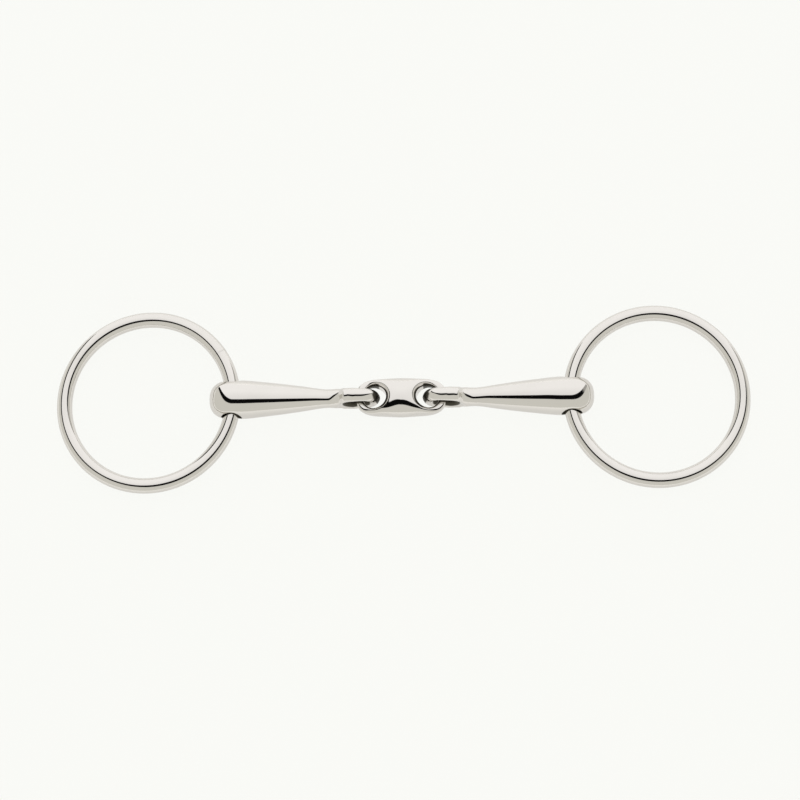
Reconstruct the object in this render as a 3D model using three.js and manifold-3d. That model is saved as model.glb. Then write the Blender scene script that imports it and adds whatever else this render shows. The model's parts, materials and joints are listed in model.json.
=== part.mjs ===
// A loose-ring, double-jointed snaffle bit, in millimetres, +Z up, lying flat on the ground at z = 0.
// +X runs along the mouthpiece to the right arm, and the origin is under the middle of the centre link.
import * as THREE from "three";
import { mergeVertices } from "three/addons/utils/BufferGeometryUtils.js";
import Module from "manifold-3d";

const wasm = await Module();
wasm.setup();

// ---- Driving dimensions ----

const ARM_DIAMETER = 16.5; // thickest part of an arm, at the ring hole
const ARM_LENGTH = 54.3; // from the inner loop's centre to the ring hole
const ARM_END = 9.4; // from the ring hole to the rounded end
const ARM_END_EXPONENT = 2.45; // superellipse power of the rounded end, 2 being an ellipse
const ARM_LAND = 2; // length of the cylindrical stretch beside the ring hole
const ARM_TAPER = [
  // [distance inward from the ring hole, radius]
  [ARM_LAND, 8.25],
  [7, 7.95],
  [12, 7.42],
  [20, 6.55],
  [29, 5.35],
  [34, 4.6],
  [38, 4.02],
];
const NECK_RADIUS = 3.9;
const NECK_TO_LOOP = 12.8; // from the narrowest part of the neck to the loop's centre

const LOOP_OUTER_RADIUS = 8;
const LOOP_OPENING_RADIUS = 3.6;
const LOOP_WIDTH = 6;
const LOOP_STRAIGHT = 3; // how far the loop is drawn out along the arm
const SHOULDER_HALF_WIDTH = 4.15; // widest part of the shoulder between the neck and the loop
const SHOULDER_TO_LOOP = 8.7;
const SHOULDER_HALF_HEIGHT = 7.2; // where the arm's body begins
const BODY_START = 7.5; // where the arm's body begins inside the loop's wall

const HOLE_RADIUS = 4.1; // ring hole
const HOLE_MOUTH = 0.5; // rounding of the ring hole's mouths

const LINK_EYE_SPACING = 21.4; // between the two eye centres
const LINK_LENGTH = 37.9;
// Half-widths and half-thicknesses as [distance from the middle, size]
const LINK_HALF_WIDTHS = [
  [0, 8.35],
  [4, 8.1],
  [8, 7.75],
  [12, 7.4],
  [14.5, 6.7],
  [16.5, 5.6],
  [18, 3.9],
  [18.7, 2.2],
];
const LINK_HALF_THICKNESSES = [
  [0, 6.35],
  [4, 6.15],
  [7, 5.5],
  [10.7, 4],
  [14.5, 2.45],
  [16.8, 2.2],
  [18, 1.9],
  [18.7, 1.2],
];
const LINK_EYE_RADIUS = 4.3;
const LINK_EYE_MOUTH = 1.35; // rounding of the eyes' mouths
const LINK_EYE_HALF_DEPTH = 4.2; // height above the link's middle where the mouths reach their full width
const PIVOT_X = 16.775; // from the link's middle to where an arm's loop hangs on its end rim

const WIRE_DIAMETER = 6.5;
const RING_INNER_DIAMETER = 65.5;
const WIRE_OFFSET = 0.45; // how far the wire's centre lies inside the hole's centre at mid-hole

const ARM_SIDES = 32;
const LOOP_SIDES = 14;
const LOOP_STEPS = 36;
const HOLE_SIDES = 24;
const LINK_SIDES = 28;
const RING_STEPS = 64;
const RING_SIDES = 16;

// ---- Worked out from them ----

const AXIS_HEIGHT = ARM_DIAMETER / 2;
const LOOP_WALL = LOOP_OUTER_RADIUS - LOOP_OPENING_RADIUS;
const LINK_EYE_X = LINK_EYE_SPACING / 2;
const WIRE_RADIUS = WIRE_DIAMETER / 2;
const RING_RADIUS = (RING_INNER_DIAMETER + WIRE_DIAMETER) / 2;
const RING_CENTRE_OFFSET = RING_RADIUS - WIRE_OFFSET;
// The ring leans so that its far side lies on the ground while its near side is held at the arm's height.
const RING_DROP = AXIS_HEIGHT - cornerRadius(WIRE_RADIUS, RING_SIDES);
const RING_TILT = Math.asin(RING_DROP / (RING_CENTRE_OFFSET + RING_RADIUS));

// ---- Solids ----

// Radius at the corners of a regular polygon whose flats are at the given radius.
function cornerRadius(radius, sides) {
  return radius / Math.cos(Math.PI / sides);
}

// A closed geometry as a solid for joining and cutting.
function solidOf(geometry) {
  const bare = geometry.clone();
  bare.deleteAttribute("normal");
  bare.deleteAttribute("uv");
  const merged = mergeVertices(bare, 1e-4);
  return new wasm.Manifold(
    new wasm.Mesh({
      numProp: 3,
      vertProperties: merged.attributes.position.array,
      triVerts: new Uint32Array(merged.index.array),
    }),
  );
}

// A solid back as a geometry that a mesh can hold.
function geometryOf(solid) {
  const made = solid.getMesh();
  const geometry = new THREE.BufferGeometry();
  geometry.setAttribute("position", new THREE.BufferAttribute(made.vertProperties, 3));
  geometry.setIndex(new THREE.BufferAttribute(made.triVerts, 1));
  geometry.computeVertexNormals();
  return geometry;
}

// A profile of [radius, height] points turned about the Y axis, with a flat side facing +Z and -Z.
function turned(profile, sides) {
  const points = profile.map(([radius, height]) => new THREE.Vector2(radius, height));
  return new THREE.LatheGeometry(points, sides, Math.PI / sides);
}

// A body along X from [x, radius] points, narrowed in Y by a share that depends on x.
function spindle(profile, sides, widthShare) {
  const geometry = turned(
    profile.map(([x, radius]) => [radius && cornerRadius(radius, sides), x]),
    sides,
  );
  geometry.rotateZ(-Math.PI / 2);
  const position = geometry.attributes.position;
  for (let i = 0; i < position.count; i++) {
    position.setY(i, position.getY(i) * widthShare(position.getX(i)));
  }
  return geometry;
}

// A ring about the Y axis with an elliptical section, `radial` and `axial` being its half-sizes.
function torus(centreRadius, radial, axial, steps, sides) {
  const profile = [];
  for (let i = 0; i <= sides; i++) {
    const angle = ((i + 0.5) / sides) * 2 * Math.PI;
    profile.push([
      centreRadius + cornerRadius(radial, sides) * Math.cos(angle),
      cornerRadius(axial, sides) * Math.sin(angle),
    ]);
  }
  return turned(profile, steps);
}

// A cutter about the Y axis for a round opening whose two mouths, at +-half, flare out by `mouth`.
function flaredCutter(radius, half, mouth, sides) {
  const ARC_STEPS = 3;
  const flare = [];
  for (let i = 0; i <= ARC_STEPS; i++) {
    const angle = (i / ARC_STEPS) * (Math.PI / 2);
    flare.push([radius + mouth * (1 - Math.cos(angle)), half - mouth + mouth * Math.sin(angle)]);
  }
  const end = half + mouth;
  const upper = [...flare, [radius + mouth, end], [0, end]];
  const lower = upper.map(([r, y]) => [r, -y]).reverse();
  return turned(
    [...lower, ...upper].map(([r, y]) => [r && cornerRadius(r, sides), y]),
    sides,
  );
}

// ---- Mouthpiece arm: the loop's centre at the origin, the arm running along +X ----

// The arm's body rises from the neck to the loop.
function flareHalfHeight(x) {
  const share = THREE.MathUtils.smoothstep(x, BODY_START, NECK_TO_LOOP);
  return THREE.MathUtils.lerp(SHOULDER_HALF_HEIGHT, NECK_RADIUS, share);
}

function flareHalfWidth(x) {
  const share = THREE.MathUtils.smoothstep(x, SHOULDER_TO_LOOP, NECK_TO_LOOP);
  return THREE.MathUtils.lerp(SHOULDER_HALF_WIDTH, NECK_RADIUS, share);
}

function armWidthShare(x) {
  return x < NECK_TO_LOOP ? flareHalfWidth(x) / flareHalfHeight(x) : 1;
}

function armProfile() {
  const FLARE_STEPS = 7;
  const END_STEPS = 9;
  const points = [[BODY_START, 0]];
  for (let i = 0; i <= FLARE_STEPS; i++) {
    const x = THREE.MathUtils.lerp(BODY_START, NECK_TO_LOOP, i / FLARE_STEPS);
    points.push([x, flareHalfHeight(x)]);
  }
  for (const [inward, radius] of [...ARM_TAPER].reverse()) {
    points.push([ARM_LENGTH - inward, radius]);
  }
  const power = 2 / ARM_END_EXPONENT;
  for (let i = 0; i < END_STEPS; i++) {
    const angle = (i / END_STEPS) * (Math.PI / 2);
    points.push([
      ARM_LENGTH + ARM_END * Math.sin(angle) ** power,
      (ARM_DIAMETER / 2) * Math.cos(angle) ** power,
    ]);
  }
  points.push([ARM_LENGTH + ARM_END, 0]);
  return points;
}

// Draws a shape centred on the origin out along +X by the loop's straight length.
function drawnOut(geometry) {
  const position = geometry.attributes.position;
  for (let i = 0; i < position.count; i++) {
    const share = THREE.MathUtils.smoothstep(position.getX(i), -0.5, 0.5);
    position.setX(i, position.getX(i) + LOOP_STRAIGHT * share);
  }
  return geometry;
}

function armSolid() {
  const body = solidOf(spindle(armProfile(), ARM_SIDES, armWidthShare));
  const loopCentre = (LOOP_OUTER_RADIUS + LOOP_OPENING_RADIUS) / 2;
  const loop = solidOf(
    drawnOut(torus(loopCentre, LOOP_WALL / 2, LOOP_WIDTH / 2, LOOP_STEPS, LOOP_SIDES)),
  );
  const opening = solidOf(
    drawnOut(flaredCutter(LOOP_OPENING_RADIUS, LOOP_WIDTH / 2, LOOP_WIDTH / 2, HOLE_SIDES)),
  );
  const holeCutter = flaredCutter(HOLE_RADIUS, ARM_DIAMETER / 2, HOLE_MOUTH, HOLE_SIDES);
  const ringHole = solidOf(holeCutter.translate(ARM_LENGTH, 0, 0));
  return body.subtract(opening).add(loop).subtract(ringHole);
}

// ---- Centre link: its middle at the origin, lying flat, the eyes on X ----

// A half-size at x from a list of [distance, size], rounded off to nothing at the link's very end.
function linkSize(sizes, x) {
  const distance = Math.abs(x);
  const next = sizes.findIndex(([at]) => at > distance);
  if (next < 0) {
    const [at, size] = sizes[sizes.length - 1];
    return size * Math.sqrt(Math.max((LINK_LENGTH / 2 - distance) / (LINK_LENGTH / 2 - at), 0));
  }
  const [fromX, from] = sizes[next - 1];
  const [toX, to] = sizes[next];
  return THREE.MathUtils.mapLinear(distance, fromX, toX, from, to);
}

function linkProfile() {
  const STEPS = 26;
  const points = [];
  for (let i = 0; i <= STEPS; i++) {
    // Cosine spacing puts more sections at the rounded ends.
    const x = (-LINK_LENGTH / 2) * Math.cos((i / STEPS) * Math.PI);
    const atEnd = i === 0 || i === STEPS;
    points.push([x, atEnd ? 0 : linkSize(LINK_HALF_THICKNESSES, x)]);
  }
  return points;
}

function linkSolid() {
  const widthShare = (x) => {
    const height = linkSize(LINK_HALF_THICKNESSES, x);
    return height > 0 ? linkSize(LINK_HALF_WIDTHS, x) / height : 1;
  };
  const body = solidOf(spindle(linkProfile(), LINK_SIDES, widthShare));
  const cutter = flaredCutter(LINK_EYE_RADIUS, LINK_EYE_HALF_DEPTH, LINK_EYE_MOUTH, HOLE_SIDES);
  cutter.rotateX(Math.PI / 2);
  const rightEye = solidOf(cutter.clone().translate(LINK_EYE_X, 0, 0));
  const leftEye = solidOf(cutter.clone().translate(-LINK_EYE_X, 0, 0));
  return body.subtract(rightEye).subtract(leftEye);
}

// ---- Loose ring: the middle of its wire in the arm's hole at the origin, lying along +X ----

function ringGeometry() {
  const ring = torus(RING_RADIUS, WIRE_RADIUS, WIRE_RADIUS, RING_STEPS, RING_SIDES);
  ring.rotateX(Math.PI / 2);
  ring.translate(RING_CENTRE_OFFSET, 0, 0);
  return ring;
}

// ---- Assembly ----

function steel(color, roughness) {
  return new THREE.MeshStandardMaterial({ color, roughness, metalness: 1 });
}

function named(name, geometry, material) {
  const mesh = new THREE.Mesh(geometry, material);
  mesh.name = name;
  return mesh;
}

// One side of the bit: an arm and its ring, built along +X from the arm's loop.
function sideGroup(side, armGeometry, ring) {
  const group = new THREE.Group();
  group.position.set(PIVOT_X, 0, AXIS_HEIGHT);
  group.add(named(side + "_mouthpiece_arm", armGeometry, steel(0xdcdad4, 0.12)));
  const ringMesh = named(side + "_ring", ring, steel(0xd2d1cd, 0.15));
  ringMesh.position.x = ARM_LENGTH;
  ringMesh.rotation.y = RING_TILT;
  group.add(ringMesh);
  const turn = new THREE.Group();
  turn.rotation.z = side === "left" ? Math.PI : 0;
  turn.add(group);
  return turn;
}

const snaffleBit = new THREE.Group();
const link = named("centre_link", geometryOf(linkSolid()), steel(0xdedcd6, 0.1));
link.position.z = AXIS_HEIGHT;
snaffleBit.add(link);
const armGeometry = geometryOf(armSolid());
for (const side of ["left", "right"]) {
  snaffleBit.add(sideGroup(side, armGeometry, ringGeometry()));
}

export default snaffleBit;
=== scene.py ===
"""A polished loose-ring snaffle bit on a pale table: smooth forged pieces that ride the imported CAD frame."""

import json
import math

import bpy
import numpy as np
import openvdb
from mathutils import Matrix, Vector


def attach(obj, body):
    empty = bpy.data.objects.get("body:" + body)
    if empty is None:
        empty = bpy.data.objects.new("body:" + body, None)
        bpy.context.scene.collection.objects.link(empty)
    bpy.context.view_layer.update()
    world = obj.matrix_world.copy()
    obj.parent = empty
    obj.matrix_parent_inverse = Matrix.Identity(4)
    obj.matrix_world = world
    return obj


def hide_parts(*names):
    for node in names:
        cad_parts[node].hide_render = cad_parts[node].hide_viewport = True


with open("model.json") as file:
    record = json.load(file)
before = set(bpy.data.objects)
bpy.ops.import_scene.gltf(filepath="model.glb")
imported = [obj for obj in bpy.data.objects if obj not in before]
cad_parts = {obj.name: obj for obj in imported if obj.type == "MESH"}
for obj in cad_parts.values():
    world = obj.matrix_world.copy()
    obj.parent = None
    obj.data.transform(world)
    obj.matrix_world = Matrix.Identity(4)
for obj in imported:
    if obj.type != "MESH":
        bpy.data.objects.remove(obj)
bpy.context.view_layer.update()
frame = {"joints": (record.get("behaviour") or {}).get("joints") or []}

MM = 0.001

# ---- Shapes, in millimetres, close to the CAD model's driving dimensions ----

ARM_RADIUS = 8.25
ARM_LENGTH = 54.3
ARM_END = 9.4
ARM_END_EXPONENT = 2.45
# Seen from the side the end is an ellipse that starts this far inward of the ring hole
ARM_END_INSET = 1.0
# [distance inward from the ring hole, radius] of the arm's taper
ARM_TAPER = ((0.0, 8.25), (6.0, 8.06), (12.0, 7.46), (20.0, 6.56), (29.0, 5.38), (34.0, 4.62), (38.0, 4.03))
NECK_RADIUS = 3.88
NECK_TO_LOOP = 12.4
SHOULDER_TO_LOOP = 8.6
SHOULDER_RADIUS = 4.15
# The shoulder grows taller towards the loop, first gently and then in a step: [rise, (from, to)]
SHOULDER_RISES = ((0.8, (13.5, 8.0)), (2.6, (9.2, 6.8)))

LOOP_OUTER_RADIUS = 8.0
LOOP_OPENING_RADIUS = 3.6
LOOP_HALF_WIDTH = 3.0
# Length of the loop's straight stretch
LOOP_STRAIGHT = 3.0
# The power of the loop's section, 1 being a diamond and 2 an ellipse, and how far its edges are eased
LOOP_SECTION_POWER = 1.5
LOOP_EDGE_EASE = 0.4
LOOP_CENTRE_RADIUS = (LOOP_OUTER_RADIUS + LOOP_OPENING_RADIUS) / 2
LOOP_HALF_WALL = (LOOP_OUTER_RADIUS - LOOP_OPENING_RADIUS) / 2
# From the loop's centre to the inner end of the arm's body, before the opening is cut through it
ARM_BODY_START = 3.0
# From the loop's centre to where the arm's profile begins, and its radius there and nearer the centre
PROFILE_START = 5.5
PROFILE_START_RADIUS = 4.0

HOLE_RADIUS = 4.1
HOLE_MOUTH = 0.5

LINK_EYE_X = 10.7
# Seen from above the link's ends are superellipses that start at this distance from the middle
LINK_END_START = 9.0
LINK_END_POWER = 2.6
LINK_HALF_LENGTH = 18.95
# [distance from the middle, half-width], before the ends are rounded
LINK_WIDTHS = ((0.0, 8.35), (4.0, 8.1), (8.0, 7.7), (12.0, 7.6), (19.0, 7.6))
# [distance from the middle, half-thickness]
LINK_HEIGHTS = ((0.0, 6.5), (4.0, 6.02), (7.0, 5.4), (10.7, 3.95), (14.6, 2.4), (16.8, 2.2), (19.0, 2.15))
LINK_EYE_RADIUS = 4.35
LINK_EYE_CHAMFER = 1.35
# The link's section is an oval at the middle, and between these distances it turns into a flatter plate
LINK_PLATE_FROM = (0.4, 18.2)
LINK_PLATE_POWER = 6.0

WIRE_RADIUS = 3.23
RING_RADIUS = 36.0
# How far the wire's centre lies inward of the ring hole's centre
WIRE_OFFSET = 0.45
# Where each ring is welded, in degrees round the ring in its own frame
WELD_ANGLES = {"left": 213.5, "right": 183.0}

# Rounding of the corners where surfaces meet
LOOP_JOIN = 0.9
LOOP_OPENING_EDGE = 0.5
BODY_START_EDGE = 0.6
LINK_EYE_EDGE = 0.3
LINK_CHAMFER_EDGE = 0.35

FORGING_VOXEL = 0.28
FIELD_MARGIN = 1.0
RELAX_PASSES = 4
PROJECT_PASSES = 5

# ---- Places, from the frame ----

JOINTS = {joint["name"]: joint for joint in frame["joints"]}


def joint_place(name):
    """A joint's pivot in millimetres."""
    return np.array(JOINTS[name]["pos_m"]) / MM


# From the link's middle to the centre of an arm's loop
PIVOT_X = joint_place("right_arm_fold")[0]

# ---- Camera ----

CAMERA_DISTANCE = 1.1
CAMERA_AZIMUTH = 9.62
CAMERA_ELEVATION = 75.06
CAMERA_ROLL = -10.01
CAMERA_LENS = 117.6
CAMERA_TARGET = Vector((-0.0009, 0.0011, 0.0004))


def make_camera():
    """The photograph's view: steeply down on the bit, turned so that it lies level."""
    azimuth = math.radians(CAMERA_AZIMUTH)
    elevation = math.radians(CAMERA_ELEVATION)
    back = Vector(
        (
            math.sin(azimuth) * math.cos(elevation),
            -math.cos(azimuth) * math.cos(elevation),
            math.sin(elevation),
        )
    )
    data = bpy.data.cameras.new("camera")
    data.lens = CAMERA_LENS
    data.clip_start = 0.05
    data.clip_end = 50
    camera = bpy.data.objects.new("camera", data)
    bpy.context.scene.collection.objects.link(camera)
    level = (-back).to_track_quat("-Z", "Y").to_matrix()
    roll = Matrix.Rotation(math.radians(CAMERA_ROLL), 3, "Z")
    camera.matrix_world = (level @ roll).to_4x4()
    camera.location = CAMERA_TARGET + back * CAMERA_DISTANCE
    bpy.context.scene.camera = camera


# ---- Distance fields: smooth joins and cuts ----


def blend_join(a, b, size):
    """The union of two fields with a rounded inner corner of about the given size."""
    return 0.5 * (a + b - np.sqrt((a - b) ** 2 + size**2))


def blend_cut(a, cutter, size):
    """Field a with the cutter taken away and the edge rounded."""
    return -blend_join(-a, cutter, size)


def natural_spline(knots):
    """A natural cubic curve through (position, value) pairs, as a function of position."""
    x = np.array([k[0] for k in knots], float)
    y = np.array([k[1] for k in knots], float)
    step = np.diff(x)
    slope = np.diff(y) / step
    size = len(x)
    matrix = np.eye(size)
    right = np.zeros(size)
    for i in range(1, size - 1):
        matrix[i, i - 1 : i + 2] = step[i - 1], 2 * (step[i - 1] + step[i]), step[i]
        right[i] = 6 * (slope[i] - slope[i - 1])
    bend = np.linalg.solve(matrix, right)

    def value(at):
        at = np.clip(at, x[0], x[-1])
        i = np.clip(np.searchsorted(x, at) - 1, 0, size - 2)
        a = (x[i + 1] - at) / step[i]
        b = (at - x[i]) / step[i]
        cubic = (a**3 - a) * bend[i] + (b**3 - b) * bend[i + 1]
        return a * y[i] + b * y[i + 1] + cubic * step[i] ** 2 / 6

    return value


def mirrored_spline(knots):
    """A smooth curve of the distance from the middle, level at the middle."""
    opposite = [(-x, value) for x, value in reversed(knots[1:])]
    return natural_spline((*opposite, *knots))


def oval_field(p, q, half_p, half_q, power=2.0, ease=1e-6):
    """About the distance to a superellipse at the origin of the (p, q) plane, its edges eased."""
    p = np.hypot(p, ease)
    q = np.hypot(q, ease)
    near = ((p / half_p) ** power + (q / half_q) ** power) ** (1 / power)
    slope_p = p ** (power - 1) / half_p**power
    slope_q = q ** (power - 1) / half_q**power
    return (near - 1) * near ** (power - 1) / np.hypot(slope_p, slope_q)


def smooth_step(value, start, end):
    """0 before start, 1 after end, and a smooth rise between."""
    share = np.clip((value - start) / (end - start), 0, 1)
    return share * share * (3 - 2 * share)


# ---- Fields of the forged pieces, each about its own origin, in millimetres ----


ARM_PROFILE = (
    (PROFILE_START, PROFILE_START_RADIUS),
    (SHOULDER_TO_LOOP, SHOULDER_RADIUS),
    (NECK_TO_LOOP, NECK_RADIUS),
    *((ARM_LENGTH - inward, radius) for inward, radius in reversed(ARM_TAPER)),
)
arm_radius = natural_spline(ARM_PROFILE)


def arm_end_field(x, z, rho):
    """The arm's rounded end: full when seen from above, and rounder from the side, about the ring hole."""
    upright = z**2 / (rho**2 + 1e-9)
    start = ARM_LENGTH - ARM_END_INSET * upright
    reach = np.clip((x - start) / (ARM_LENGTH + ARM_END - start), 0, None)
    power = ARM_END_EXPONENT + (2 - ARM_END_EXPONENT) * upright
    return ((reach**power + (rho / arm_radius(x)) ** power) ** (1 / power) - 1) * ARM_RADIUS


def loop_turn(x, z):
    """The distance from the loop's spine, a short line along X."""
    return np.hypot(x - np.clip(x, 0, LOOP_STRAIGHT), z)


# These keep a field near a true distance where its surface leans.
OPENING_FIELD_SCALE = 0.7
LINK_FIELD_SCALE = 0.9


def arm_field(points):
    """The arm: loop centre at the origin, body along +X, loop upright in XZ, ring hole along Y."""
    x, y, z = points.T
    width = arm_radius(x)
    height = width
    for rise, (start, end) in SHOULDER_RISES:
        height = height + rise * (1 - smooth_step(x, end, start))
    body = np.where(
        x > ARM_LENGTH - ARM_END_INSET,
        arm_end_field(x, z, np.hypot(y, z)),
        oval_field(y, z, width, height),
    )
    body = blend_cut(body, x - ARM_BODY_START, BODY_START_EDGE)

    turn = loop_turn(x, z)
    section = LOOP_HALF_WALL, LOOP_HALF_WIDTH, LOOP_SECTION_POWER, LOOP_EDGE_EASE
    loop = oval_field(turn - LOOP_CENTRE_RADIUS, y, *section)
    whole = blend_join(body, loop, LOOP_JOIN)

    # The opening's wall is an ellipse round the loop's section, and its cheeks lean out through the shoulder.
    inside = np.clip(1 - (y / LOOP_HALF_WIDTH) ** 2, 0, 1)
    opening_radius = LOOP_CENTRE_RADIUS - LOOP_HALF_WALL * np.sqrt(inside)
    opening_radius = opening_radius + np.clip(np.abs(y) - LOOP_HALF_WIDTH, 0, None)
    opening = (turn - opening_radius) * OPENING_FIELD_SCALE
    whole = blend_cut(whole, opening, LOOP_OPENING_EDGE)

    hole = np.hypot(x - ARM_LENGTH, z) - HOLE_RADIUS
    return blend_cut(whole, hole, HOLE_MOUTH)


link_height = mirrored_spline(LINK_HEIGHTS)
link_width = mirrored_spline(LINK_WIDTHS)


def link_field(points):
    """The centre link: lying flat, its middle at the origin, an eye at each end."""
    x, y, z = points.T
    x = np.abs(x)
    along = np.clip(x - LINK_END_START, 0, None) / (LINK_HALF_LENGTH - LINK_END_START)
    aside = np.abs(y) / link_width(x)
    across = (along**LINK_END_POWER + aside**LINK_END_POWER) ** (1 / LINK_END_POWER)
    height = link_height(x)
    power = 2 + (LINK_PLATE_POWER - 2) * smooth_step(x, *LINK_PLATE_FROM)
    body = ((across**power + (np.abs(z) / height) ** power) ** (1 / power) - 1) * height * LINK_FIELD_SCALE
    eye = np.hypot(x - LINK_EYE_X, y) - LINK_EYE_RADIUS
    chamfer = (eye - body - LINK_EYE_CHAMFER) * math.sqrt(0.5)
    pierced = blend_cut(body, eye, LINK_EYE_EDGE)
    return blend_cut(pierced, chamfer, LINK_CHAMFER_EDGE)


# ---- Painted shade and dullness: 1 in the hollows, where shade falls and a polishing wheel cannot reach, 0 elsewhere ----

# Each pair is where the painted shade and dullness start and stop to change: first in the loop's opening,
# measured from the loop's spine, from its middle plane and along the arm
# Painted shade: how dark and dull the loop's opening gets
OPENING_SHADE_AND_DULLNESS = 0.9
OPENING_REACH = (4.4, 5.4)
OPENING_SIDES = (2.4, 3.4)
OPENING_BACK = (-4.5, -3.0)
# Then round the ring hole, and on the loop inside the link's eye, where its surface faces the middle
HOLE_REACH = (HOLE_RADIUS + 0.1, HOLE_RADIUS + 0.5)
LOOP_IN_EYE = (LINK_EYE_RADIUS - 0.7, LINK_EYE_RADIUS)
LOOP_END_FACING = (0.5, 0.75)
# Last in the link's eyes, measured from the eye's centre, from the link's middle and towards the back
EYE_REACH = (LINK_EYE_RADIUS + 0.8, LINK_EYE_RADIUS + 1.2)
EYE_OUTER_PART = (8.3, 10.0)
EYE_BACK_PART = (0.0, 1.0)


def arm_shade_and_dullness(points, normals):
    """Painted shade, with a duller finish, in the loop's opening, in the ring hole, and on the loop's outer
    turn inside the link's eye.
    """
    x, y, z = points.T
    opening = OPENING_SHADE_AND_DULLNESS * (1 - smooth_step(loop_turn(x, z), *OPENING_REACH))
    opening = opening * (1 - smooth_step(np.abs(y), *OPENING_SIDES)) * smooth_step(x, *OPENING_BACK)
    hole = 1 - smooth_step(np.hypot(x - ARM_LENGTH, z), *HOLE_REACH)
    in_eye = 1 - smooth_step(np.hypot(x + PIVOT_X - LINK_EYE_X, y), *LOOP_IN_EYE)
    end = smooth_step(-normals[:, 0], *LOOP_END_FACING)
    return np.maximum(np.maximum(opening, hole), in_eye * end)


def link_shade_and_dullness(points, _):
    """Painted shade, with a duller finish, on the outer part of the eyes' back walls and their chamfers."""
    x = np.abs(points[:, 0])
    y = points[:, 1]
    wall = 1 - smooth_step(np.hypot(x - LINK_EYE_X, y), *EYE_REACH)
    return wall * smooth_step(x, *EYE_OUTER_PART) * smooth_step(y, *EYE_BACK_PART)


# ---- Meshes from fields ----


def field_slope(field, points):
    """The field's gradient at the points, by central differences."""
    reach = 0.01
    slope = np.zeros_like(points)
    for axis in range(3):
        shift = np.zeros(3)
        shift[axis] = reach
        slope[:, axis] = (field(points + shift) - field(points - shift)) / (2 * reach)
    return slope


def project(field, points, passes):
    """Moves the points onto the field's surface."""
    for _ in range(passes):
        slope = field_slope(field, points)
        points = points - slope * (field(points) / (slope**2).sum(1))[:, None]
    return points


def relax(points, quads):
    """Evens out the mesh by moving each point halfway to the middle of its neighbours."""
    total = np.zeros_like(points)
    count = np.zeros(len(points))
    for corner in range(4):
        here = quads[:, corner]
        there = quads[:, (corner + 1) % 4]
        np.add.at(total, here, points[there])
        np.add.at(total, there, points[here])
        np.add.at(count, here, 1)
        np.add.at(count, there, 1)
    return 0.5 * points + 0.5 * total / count[:, None]


def field_surface(field, low, high, voxel):
    """Points and quads of the field's surface inside a box."""
    counts = [int(math.ceil((b - a) / voxel)) + 1 for a, b in zip(low, high)]
    axes = [a + voxel * np.arange(n) for a, n in zip(low, counts)]
    lattice = np.stack(np.meshgrid(*axes, indexing="ij"), axis=-1).reshape(-1, 3)
    band = 3 * voxel
    values = np.clip(field(lattice).reshape(counts), -band, band)
    grid = openvdb.FloatGrid(band)
    grid.copyFromArray(values.astype(np.float32))
    points, quads = grid.convertToQuads(isovalue=0.0)
    points = np.array(points, float) * voxel + np.array(low)
    quads = np.array(quads, int)
    for _ in range(RELAX_PASSES):
        points = project(field, relax(points, quads), 1)
    return project(field, points, PROJECT_PASSES), quads


def make_mesh(name, points, faces, normals, dull_and_shade, place):
    """A smooth-shaded object from millimetre points, put in the row frame by a 4x4 place."""
    turn = np.array(place.to_3x3())
    shift = np.array(place.translation)
    world = points @ turn.T * MM + shift
    mesh = bpy.data.meshes.new(name)
    mesh.from_pydata(world.tolist(), [], faces.tolist())
    mesh.validate()
    mesh.polygons.foreach_set("use_smooth", [True] * len(mesh.polygons))
    mesh.normals_split_custom_set_from_vertices((normals @ turn.T).tolist())
    # This attribute carries painted shade in the hollows, and the duller finish of the welds
    mesh.attributes.new("dull_and_shade", "FLOAT", "POINT").data.foreach_set("value", dull_and_shade)
    mesh.update()
    piece = bpy.data.objects.new(name, mesh)
    bpy.context.scene.collection.objects.link(piece)
    return piece


def forged_surface(field, shade_and_dullness, low, high):
    """The surface of a field: points, quads facing outward, normals, and how much painted shade and dullness
    each point has.
    """
    points, quads = field_surface(field, low, high, FORGING_VOXEL)
    normals = field_slope(field, points)
    normals /= np.linalg.norm(normals, axis=1)[:, None]
    a, b, c = (points[quads[:, k]] for k in range(3))
    facing = (np.cross(b - a, c - a) * normals[quads[:, 0]]).sum(1)
    if facing.mean() < 0:
        quads = quads[:, ::-1]
    return points, quads, normals, shade_and_dullness(points, normals)


# ---- Loose rings ----

RING_STEPS = 420
RING_SIDES = 56
WELD_HALF_WIDTH = 0.9
WELD_HEIGHT = 0.025
WELD_DULLNESS = 0.35


def ring_points(weld_angle):
    """Points, quads, normals and dullness of a wire ring in the XY plane, butt-welded at one angle."""
    around = 2 * math.pi * np.arange(RING_STEPS) / RING_STEPS
    section = 2 * math.pi * np.arange(RING_SIDES) / RING_SIDES
    a, s = np.meshgrid(around, section, indexing="ij")
    from_weld = (a - math.radians(weld_angle) + math.pi) % (2 * math.pi) - math.pi
    arc = from_weld * RING_RADIUS
    weld = WELD_HEIGHT * np.exp(-((arc / WELD_HALF_WIDTH) ** 2))
    wire = WIRE_RADIUS + weld
    weld_slope = -2 * arc / WELD_HALF_WIDTH**2 * weld
    out = RING_RADIUS + wire * np.cos(s)
    points = np.stack([out * np.cos(a), out * np.sin(a), wire * np.sin(s)], axis=-1)
    along = np.stack([-np.sin(a), np.cos(a), np.zeros_like(a)], axis=-1)
    normals = np.stack([np.cos(s) * np.cos(a), np.cos(s) * np.sin(a), np.sin(s)], axis=-1)
    normals = normals - weld_slope[..., None] * along
    normals /= np.linalg.norm(normals, axis=-1)[..., None]
    index = np.arange(RING_STEPS * RING_SIDES).reshape(RING_STEPS, RING_SIDES)
    ahead = np.roll(index, -1, 0)
    quads = np.stack([index, ahead, np.roll(ahead, -1, 1), np.roll(index, -1, 1)], axis=-1)
    dull_and_shade = WELD_DULLNESS * weld / WELD_HEIGHT
    return points.reshape(-1, 3), quads.reshape(-1, 4), normals.reshape(-1, 3), dull_and_shade.ravel()


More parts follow.
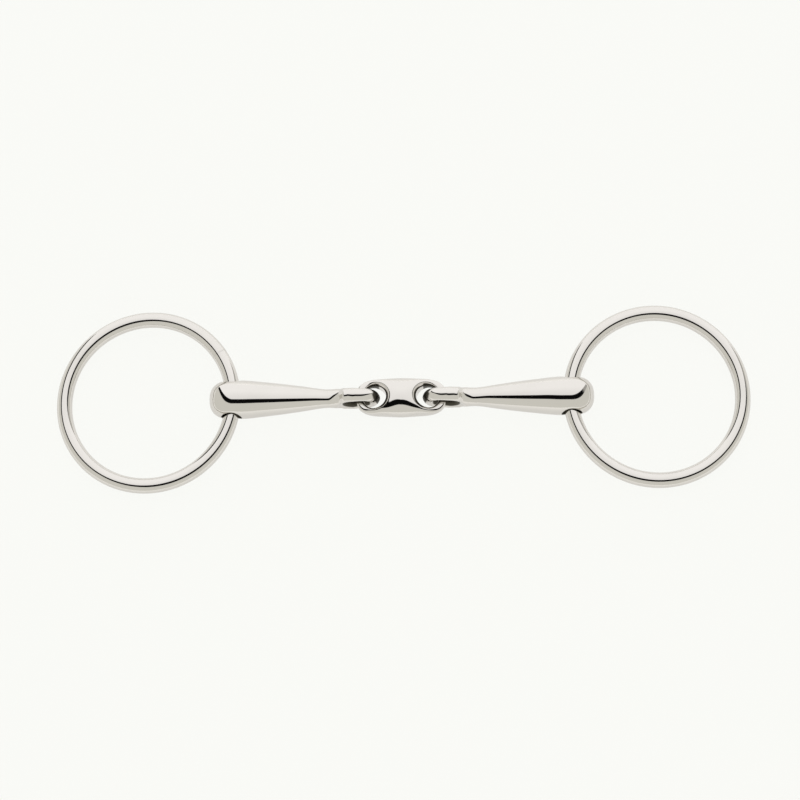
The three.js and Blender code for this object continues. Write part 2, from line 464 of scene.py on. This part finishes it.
def ring_place(side, hole):
    """Where a ring lies: through the hole on its near side, its far side resting on the table."""
    offset = RING_RADIUS - WIRE_OFFSET
    tilt = math.asin((hole[2] - WIRE_RADIUS) / (offset + RING_RADIUS))
    turn = Matrix.Rotation(0 if side == "right" else math.pi, 4, "Z")
    lean = Matrix.Rotation(tilt, 4, "Y")
    out = Matrix.Translation(Vector((offset * MM, 0, 0)))
    return Matrix.Translation(Vector(hole) * MM) @ turn @ lean @ out


# ---- Materials ----


class Nodes:
    """A short way to write a material's or world's node tree."""

    def __init__(self, tree):
        self.tree = tree
        tree.nodes.clear()

    def add(self, kind, settings=None, **inputs):
        """A node with its settings and inputs: iN is input number N, and other keys are inputs' names."""
        node = self.tree.nodes.new(kind)
        for key, value in (settings or {}).items():
            setattr(node, key, value)
        for key, value in inputs.items():
            numbered = key[0] == "i" and key[1:].isdigit()
            socket = node.inputs[int(key[1:]) if numbered else key.replace("_", " ")]
            self.put(value, socket)
        return node

    def put(self, value, socket):
        """Gives a socket a value, or another node's output."""
        if isinstance(value, bpy.types.NodeSocket):
            self.tree.links.new(value, socket)
        else:
            socket.default_value = value

    def math(self, operation, a, b=0.0, c=0.0):
        """The output of a math node."""
        return self.add("ShaderNodeMath", {"operation": operation}, i0=a, i1=b, i2=c).outputs[0]

    def ramp(self, value, start, end, low=0.0, high=1.0):
        """A smooth step of a value from low at start to high at end."""
        settings = {"interpolation_type": "SMOOTHSTEP"}
        node = self.add("ShaderNodeMapRange", settings, i0=value, i1=start, i2=end, i3=low, i4=high)
        return node.outputs[0]

    def mix(self, share, a, b):
        """A colour between a and b."""
        node = self.add("ShaderNodeMix", {"data_type": "RGBA"})
        self.put(share, node.inputs[0])
        self.put(a, node.inputs[6])
        self.put(b, node.inputs[7])
        return node.outputs[2]


STEEL = (0.72, 0.70, 0.665, 1.0)
STEEL_CLOUDED = (0.68, 0.665, 0.625, 1.0)
# Near black, for painted shade in the hollows; the welds take a little of it as their duller tone
STEEL_DULL_AND_SHADE = (0.08, 0.075, 0.06, 1.0)
DULL_ROUGHNESS = 0.42
# Noise scales are in cells per metre, and the bump's depth is in metres
CLOUD_SCALE = 90.0
MARK_SCALE = 700.0
MARK_ROUGHNESS = 0.06
BUFFING_STRENGTH = 0.012
BUFFING_DEPTH = 0.0001
# Where on a noise, or on the dullness and painted shade, each smooth step starts and ends
MARK_RANGE = (0.68, 0.76)
CLOUD_RANGE = (0.4, 0.75)
POLISH_RANGE = (0.35, 0.7)
DULL_AND_SHADE_RANGE = (0.35, 0.95)
# How much the clouds tint the steel, fray the edges of the dull and painted-shade parts and vary the roughness
CLOUD_TINT = 0.4
CLOUD_FRAYING = 0.3
POLISH_SPREAD = 0.3
# [roughness, cells of the buffing noise per metre]
LINK_FINISH = (0.05, 2500.0)
ARM_FINISH = (0.05, 2200.0)
RING_FINISH = (0.085, 1800.0)


def steel_material(name, roughness, buffing_scale):
    """Polished stainless steel: fine buffing lines, a faint cloudiness, handling marks, and painted shade in
    the hollows, which are also duller, as are the welds.
    """
    material = bpy.data.materials.new(name)
    material.use_nodes = True
    nodes = Nodes(material.node_tree)
    place = nodes.add("ShaderNodeTexCoord").outputs["Object"]
    cloud = nodes.add("ShaderNodeTexNoise", Vector=place, Scale=CLOUD_SCALE, Detail=3.0).outputs[0]
    buffing = nodes.add("ShaderNodeTexNoise", Vector=place, Scale=buffing_scale, Detail=4.0).outputs[0]
    marks = nodes.add("ShaderNodeTexNoise", Vector=place, Scale=MARK_SCALE, Detail=2.0).outputs[0]
    dull_and_shade_attribute = nodes.add("ShaderNodeAttribute", {"attribute_name": "dull_and_shade"}).outputs["Fac"]
    speck = nodes.ramp(marks, *MARK_RANGE)
    dull_and_shade = nodes.ramp(nodes.math("MULTIPLY_ADD", cloud, CLOUD_FRAYING, dull_and_shade_attribute), *DULL_AND_SHADE_RANGE)
    clouded = nodes.mix(nodes.ramp(cloud, *CLOUD_RANGE, 0.0, CLOUD_TINT), STEEL, STEEL_CLOUDED)
    # Painted shade: the hollows are darkened towards near black, and the welds a little
    colour = nodes.mix(dull_and_shade, clouded, STEEL_DULL_AND_SHADE)
    smoothest = roughness * (1 - POLISH_SPREAD)
    roughest = roughness * (1 + POLISH_SPREAD)
    polish = nodes.ramp(cloud, *POLISH_RANGE, smoothest, roughest)
    marked = nodes.math("MULTIPLY_ADD", speck, MARK_ROUGHNESS, polish)
    rough = nodes.math("MAXIMUM", marked, nodes.math("MULTIPLY", dull_and_shade, DULL_ROUGHNESS))
    bump = nodes.add("ShaderNodeBump", Strength=BUFFING_STRENGTH, Distance=BUFFING_DEPTH, Height=buffing)
    shader = nodes.add(
        "ShaderNodeBsdfPrincipled",
        Base_Color=colour,
        Roughness=rough,
        Metallic=1.0,
        Normal=bump.outputs[0],
    )
    nodes.add("ShaderNodeOutputMaterial", Surface=shader.outputs[0])
    return material


# ---- Studio ----

TABLE_SIZE = 8.0
TABLE_COLOUR = (0.30, 0.30, 0.29, 1.0)
TABLE_ROUGHNESS = 0.35
TABLE_GLOW_COLOUR = (1.0, 0.99, 0.97, 1.0)
TABLE_GLOW = 0.66
# What the camera sees of the table, but for the share that takes shadows
BACKDROP = (0.958, 0.965, 0.93, 1.0)
SHADOW_SHARE = 0.12

PANEL_WHITE_EDGE = (1.03, 1.02, 1.02, 1.0)
PANEL_WHITE = (1.17, 1.16, 1.16, 1.0)
PANEL_GREY = (0.78, 0.77, 0.72, 1.0)
PANEL_BLACK = (0.004, 0.004, 0.004, 1.0)
GAP_FADED = (0.45, 0.44, 0.42, 1.0)
# The dark gap between the panels, on the sky flattened to a disc: straight up is 0, the horizon 1.
# It bends towards the back more sharply on the left than on the right, and narrows as it goes.
GAP_MIDDLE_Y = -0.215
GAP_CURVE = 1.95
GAP_CURVE_LEAN = 0.45
GAP_NARROWING = 0.15
GAP_HALF_WIDTH = 0.115
GAP_SOFTNESS = 0.012
# On the same disc, where the canopy turns from its edge's white to its own, and where the gap fades out
# at the back right, with across counting for more than away
WHITE_RANGE = (-0.1, 0.4)
GAP_FADE_LEAN = 1.2
GAP_FADE_RANGE = (0.65, 1.0)
# Directions that point more steeply down than this are treated as if they pointed down this far
LOWEST_DIRECTION = -0.9


def make_table():
    """A plain pale table with faint shadows. The camera sees the backdrop, and pieces below, through it."""
    material = bpy.data.materials.new("table")
    material.use_nodes = True
    nodes = Nodes(material.node_tree)
    paper = nodes.add(
        "ShaderNodeBsdfPrincipled",
        Base_Color=TABLE_COLOUR,
        Roughness=TABLE_ROUGHNESS,
        Emission_Color=TABLE_GLOW_COLOUR,
        Emission_Strength=TABLE_GLOW,
    )
    clear = nodes.add("ShaderNodeBsdfTransparent")
    seen = nodes.add("ShaderNodeLightPath").outputs["Is Camera Ray"]
    share = nodes.math("MULTIPLY", seen, 1 - SHADOW_SHARE)
    shader = nodes.add("ShaderNodeMixShader", i0=share, i1=paper.outputs[0], i2=clear.outputs[0])
    nodes.add("ShaderNodeOutputMaterial", Surface=shader.outputs[0])
    half = TABLE_SIZE / 2
    mesh = bpy.data.meshes.new("table")
    corners = [(-half, -half, 0), (half, -half, 0), (half, half, 0), (-half, half, 0)]
    mesh.from_pydata(corners, [], [(0, 1, 2, 3)])
    mesh.materials.append(material)
    table = bpy.data.objects.new("table", mesh)
    bpy.context.scene.collection.objects.link(table)


def make_studio_light():
    """Soft light from all round: a white canopy overhead and behind, grey in front, a dark gap between."""
    world = bpy.data.worlds.new("studio")
    bpy.context.scene.world = world
    world.use_nodes = True
    nodes = Nodes(world.node_tree)
    direction = nodes.add("ShaderNodeTexCoord").outputs["Generated"]
    x, y, z = nodes.add("ShaderNodeSeparateXYZ", i0=direction).outputs
    lift = nodes.math("ADD", nodes.math("MAXIMUM", z, LOWEST_DIRECTION), 1.0)
    across = nodes.math("DIVIDE", x, lift)
    away = nodes.math("DIVIDE", y, lift)
    square = nodes.math("MULTIPLY", across, across)
    bend = nodes.math("MULTIPLY_ADD", nodes.math("SIGN", across), -GAP_CURVE_LEAN, GAP_CURVE)
    curve = nodes.math("MULTIPLY_ADD", square, bend, GAP_MIDDLE_Y)
    steepness = nodes.math("MULTIPLY_ADD", square, (2 * GAP_CURVE) ** 2, 1.0)
    narrowed = nodes.math("POWER", steepness, GAP_NARROWING)
    beyond = nodes.math("DIVIDE", nodes.math("SUBTRACT", away, curve), narrowed)
    canopy = nodes.ramp(beyond, GAP_HALF_WIDTH - GAP_SOFTNESS, GAP_HALF_WIDTH + GAP_SOFTNESS)
    front = nodes.ramp(beyond, GAP_SOFTNESS - GAP_HALF_WIDTH, -GAP_SOFTNESS - GAP_HALF_WIDTH)
    white = nodes.mix(nodes.ramp(away, *WHITE_RANGE), PANEL_WHITE_EDGE, PANEL_WHITE)
    rightward = nodes.math("MULTIPLY_ADD", across, GAP_FADE_LEAN, away)
    gap = nodes.mix(nodes.ramp(rightward, *GAP_FADE_RANGE), PANEL_BLACK, GAP_FADED)
    colour = nodes.mix(front, nodes.mix(canopy, gap, white), PANEL_GREY)
    seen = nodes.add("ShaderNodeLightPath").outputs["Is Camera Ray"]
    shown = nodes.mix(seen, colour, BACKDROP)
    background = nodes.add("ShaderNodeBackground", Color=shown, Strength=1.0)
    nodes.add("ShaderNodeOutputWorld", Surface=background.outputs[0])


# ---- Assembly ----


def finish_piece(piece, material, body, node):
    """Gives a piece its material and ties it to the CAD body and node that it stands for."""
    piece.data.materials.append(material)
    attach(piece, body)
    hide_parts(node)


def make_arms(material):
    """Both mouthpiece arms, the same forging with the left one turned round."""
    low = np.array((-LOOP_OUTER_RADIUS, -ARM_RADIUS, -ARM_RADIUS)) - FIELD_MARGIN
    high = np.array((ARM_LENGTH + ARM_END, ARM_RADIUS, ARM_RADIUS)) + FIELD_MARGIN
    surface = forged_surface(arm_field, arm_shade_and_dullness, low, high)
    for side, turn in (("left", math.pi), ("right", 0)):
        pivot = Vector(joint_place(f"{side}_arm_fold")) * MM
        place = Matrix.Translation(pivot) @ Matrix.Rotation(turn, 4, "Z")
        piece = make_mesh(f"{side}_arm_forging", *surface, place)
        finish_piece(piece, material, f"{side}_arm", f"{side}_mouthpiece_arm")


def make_link(material):
    """The lozenge link between the arms."""
    corner = np.array((LINK_HALF_LENGTH, LINK_WIDTHS[0][1], LINK_HEIGHTS[0][1])) + FIELD_MARGIN
    surface = forged_surface(link_field, link_shade_and_dullness, -corner, corner)
    middle = (joint_place("left_arm_fold") + joint_place("right_arm_fold")) / 2
    piece = make_mesh("lozenge_link_forging", *surface, Matrix.Translation(Vector(middle) * MM))
    finish_piece(piece, material, "link", "centre_link")


def make_rings(material):
    """Both loose rings."""
    for side, weld_angle in WELD_ANGLES.items():
        place = ring_place(side, joint_place(f"{side}_ring_swing"))
        piece = make_mesh(f"{side}_wire_ring", *ring_points(weld_angle), place)
        finish_piece(piece, material, f"{side}_loose_ring", f"{side}_ring")


make_camera()
make_table()
make_studio_light()
make_link(steel_material("link_polished_steel", *LINK_FINISH))
make_arms(steel_material("arm_polished_steel", *ARM_FINISH))
make_rings(steel_material("ring_polished_steel", *RING_FINISH))

bpy.context.scene.view_settings.view_transform = "Standard"
